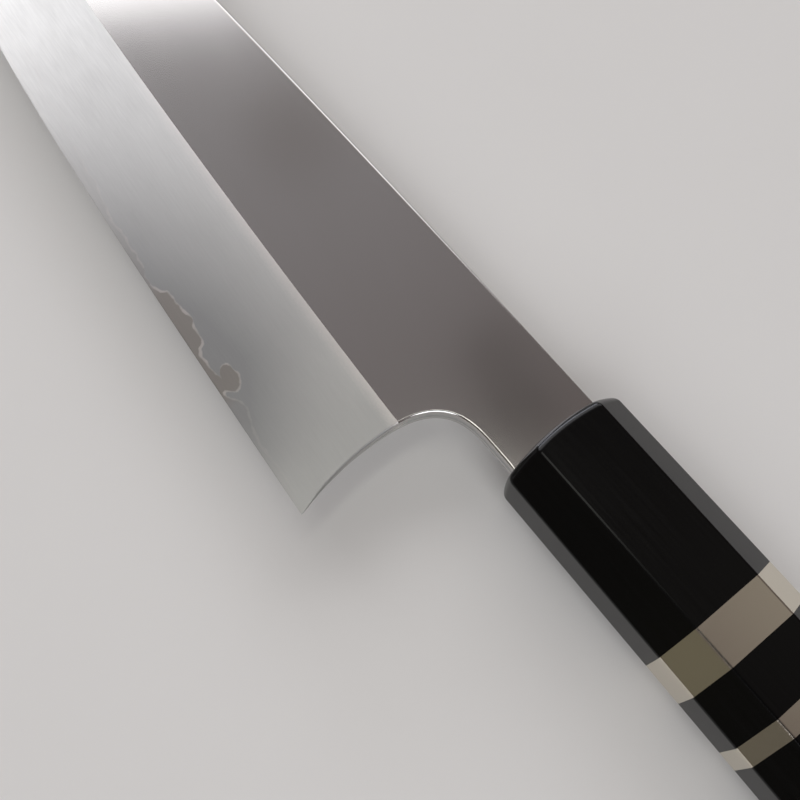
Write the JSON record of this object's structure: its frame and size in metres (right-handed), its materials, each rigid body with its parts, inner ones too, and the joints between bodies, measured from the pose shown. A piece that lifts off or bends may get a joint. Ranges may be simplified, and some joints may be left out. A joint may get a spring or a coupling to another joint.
{
  "type": "gyuto knife",
  "caption": "Japanese chef's knife with a three-layer wide-bevel blade and an octagonal black handle with metal rings",
  "frame": {"origin": "bottom centre of the bounding box, with the knife lying on its right side", "axes": "+X from the tip to the butt, +Y from the edge to the spine, +Z out of the blade's left side"},
  "size_m": [0.3602, 0.05, 0.0195],
  "materials": {
    "core_steel": "stone ground hard steel, slightly darker than the cladding",
    "left_cladding_steel": "mirror polished flat above the ridge line, hazy stone finish on the bevel",
    "right_cladding_steel": "mirror polished flat above the ridge line, hazy stone finish on the bevel",
    "ferrule_ebony": "black ebony, polished",
    "wide_ring_nickel_silver": "nickel silver, fine polished",
    "spacer_ebony": "black ebony, polished",
    "narrow_ring_nickel_silver": "nickel silver, fine polished",
    "body_ebony": "black ebony, polished",
    "dowel_wood": "plain pale hardwood",
    "seal_resin": "dark resin"
  },
  "bodies": {
    "root": {"core_steel_blade": "core_steel", "left_cladding": "left_cladding_steel", "right_cladding": "right_cladding_steel", "ferrule": "ferrule_ebony", "wide_ring": "wide_ring_nickel_silver", "ring_spacer": "spacer_ebony", "narrow_ring": "narrow_ring_nickel_silver", "handle_body": "body_ebony", "handle_dowel": "dowel_wood", "tang_seal": "seal_resin"}
  },
  "joints": []
}
